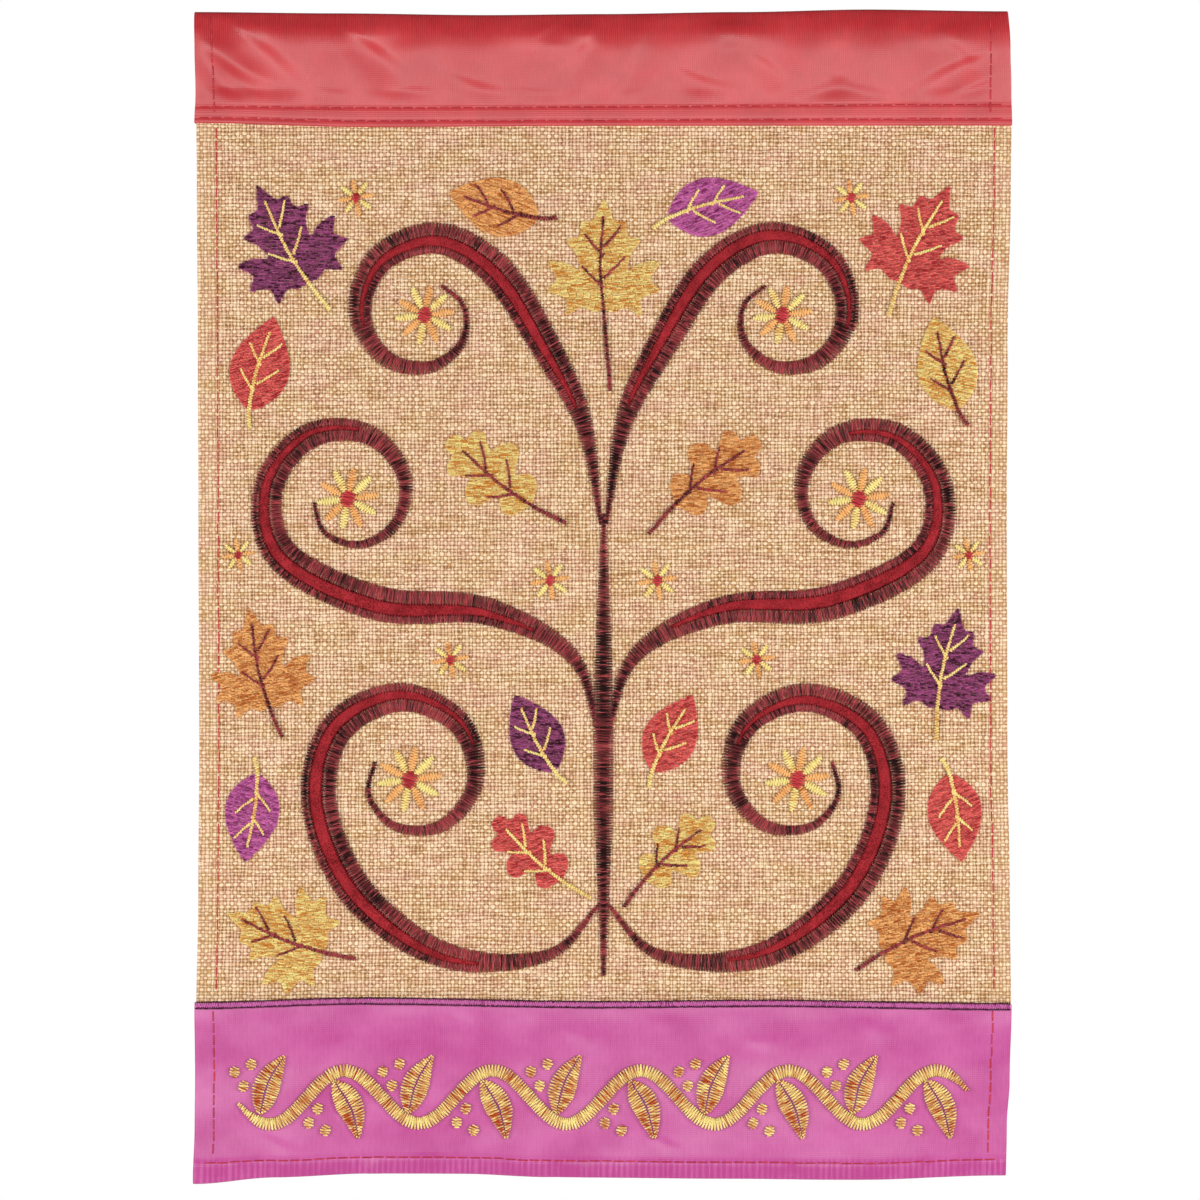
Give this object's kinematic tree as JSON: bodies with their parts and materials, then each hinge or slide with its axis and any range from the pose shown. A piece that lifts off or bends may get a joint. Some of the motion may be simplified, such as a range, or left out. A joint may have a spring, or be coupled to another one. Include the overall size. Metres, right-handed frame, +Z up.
{
  "type": "garden flag",
  "caption": "Burlap garden flag that hangs from a rod sleeve, with a satin foot band, a stitched seam edging and an embroidered field.",
  "frame": {"origin": "middle of the sleeve's top fold, the line that a stand's arm carries", "axes": "+Z up, along the flag's height; the embroidered front faces -Y; +X to the right of someone who faces the front"},
  "size_m": [0.3205, 0.0103, 0.46],
  "materials": {
    "coral_satin": "woven polyester satin with a soft sheen",
    "natural_burlap": "open plain-weave jute, matt",
    "magenta_satin": "woven polyester satin with a soft sheen",
    "purple_thread": "shiny embroidery thread in satin stitch",
    "maroon_thread": "shiny embroidery thread in satin stitch",
    "crimson_thread": "shiny embroidery thread and felted patches",
    "coral_thread": "shiny embroidery thread in fill stitch",
    "gold_thread": "shiny embroidery thread in fill stitch",
    "orange_thread": "shiny embroidery thread in fill stitch"
  },
  "bodies": {
    "root": {"rod_sleeve": "coral_satin", "burlap_panel": "natural_burlap", "foot_band": "magenta_satin", "seam_edging": "purple_thread"}
  },
  "joints": []
}
